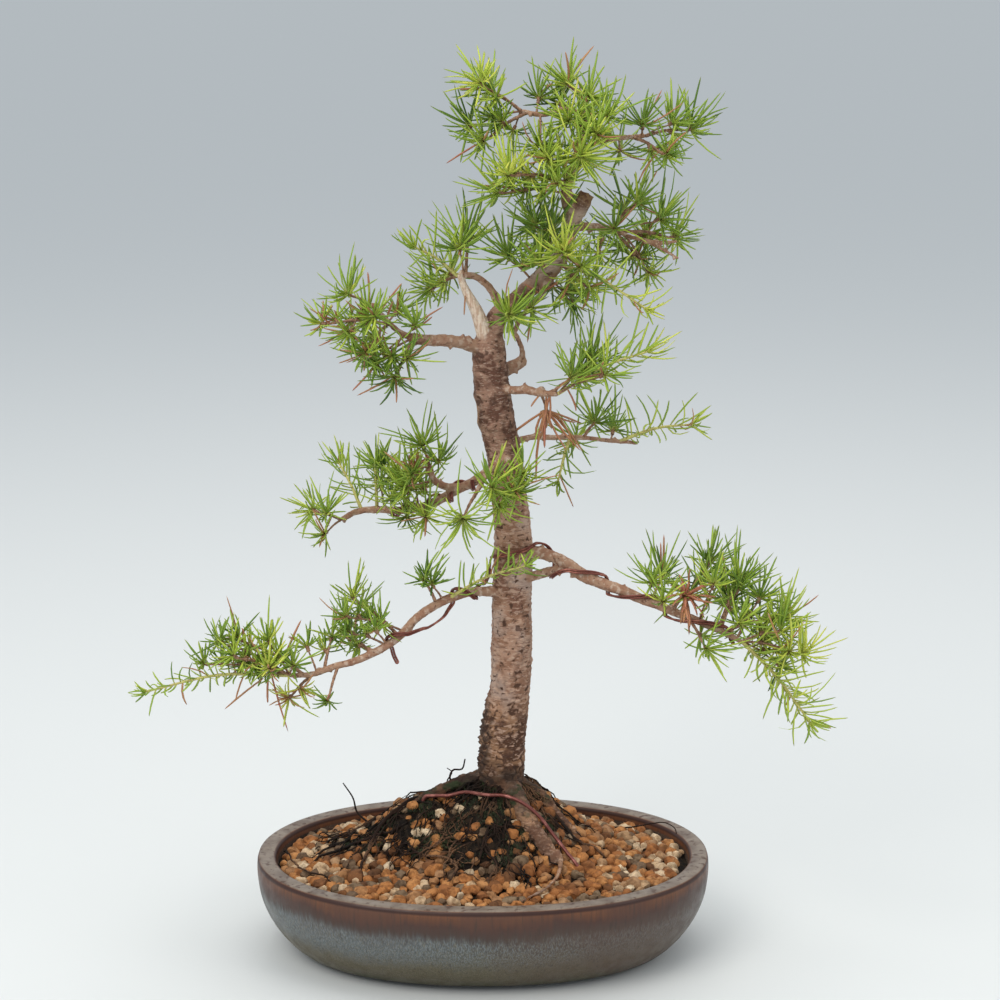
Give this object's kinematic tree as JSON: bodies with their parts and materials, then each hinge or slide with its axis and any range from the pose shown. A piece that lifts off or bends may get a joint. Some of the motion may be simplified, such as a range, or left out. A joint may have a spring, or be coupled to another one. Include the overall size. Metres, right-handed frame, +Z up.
{
  "type": "larch bonsai in an oval pot",
  "caption": "Formal upright larch with a slender trunk, cascading lower limbs and tufts of needles, rooted in a gravel mound in an oval glazed pot.",
  "frame": {"origin": "middle of the whole object's footprint, on the surface that the pot's feet stand on, within 2 mm of the middle of the pot's oval", "axes": "+X along the pot's long axis to the viewer's right, +Y to the back, +Z up"},
  "size_m": [0.3996, 0.196, 0.5263],
  "materials": {
    "glaze": "satin",
    "soil": "matte",
    "bark": "matte",
    "green_needles": "satin",
    "dead_needles": "matte",
    "wire": "satin",
    "screen": "matte",
    "clip": "satin"
  },
  "bodies": {
    "root": {"clip_left": "clip", "clip_right": "clip", "needles_dry_low_right": "dead_needles", "needles_dry_right_mid": "dead_needles", "pot": "glaze", "screen_left": "screen", "screen_right": "screen", "soil": "soil", "spray_apex_back_end": "green_needles", "spray_apex_front": "green_needles", "spray_apex_left_out": "green_needles", "spray_apex_left_top": "green_needles", "spray_apex_right_low": "green_needles", "spray_apex_right_out": "green_needles", "spray_apex_top": "green_needles", "spray_leader_back": "green_needles", "spray_leader_front": "green_needles", "spray_leader_low": "green_needles", "spray_leader_shoot": "green_needles", "spray_low_left_back": "green_needles", "spray_low_left_cross": "green_needles", "spray_low_left_drop": "green_needles", "spray_low_left_end": "green_needles", "spray_low_left_hang": "green_needles", "spray_low_left_near": "green_needles", "spray_low_left_side": "green_needles", "spray_low_left_tip": "green_needles", "spray_low_left_top": "green_needles", "spray_low_right_droop": "green_needles", "spray_low_right_end": "green_needles", "spray_low_right_front": "green_needles", "spray_low_right_full": "green_needles", "spray_low_right_near": "green_needles", "spray_low_right_up": "green_needles", "spray_mid_front_cross": "green_needles", "spray_mid_front_low": "green_needles", "spray_mid_left_end": "green_needles", "spray_mid_left_rise": "green_needles", "spray_mid_left_top": "green_needles", "spray_mid_left_under": "green_needles", "spray_mid_left_up": "green_needles", "spray_right_low_drop": "green_needles", "spray_right_low_full": "green_needles", "spray_right_low_shoot": "green_needles", "spray_right_mid_full": "green_needles", "spray_right_mid_shoot": "green_needles", "spray_right_upper_end": "green_needles", "spray_right_upper_low": "green_needles", "spray_right_upper_top": "green_needles", "spray_top_left_low": "green_needles", "spray_top_left_out": "green_needles", "spray_top_left_top": "green_needles", "spray_up_left_hang": "green_needles", "spray_up_left_out": "green_needles", "spray_up_left_top": "green_needles", "tie_wire": "wire", "tree_wood": "bark", "wire_low_left": "wire", "wire_low_right": "wire", "wire_mid_left": "wire"}
  },
  "joints": []
}
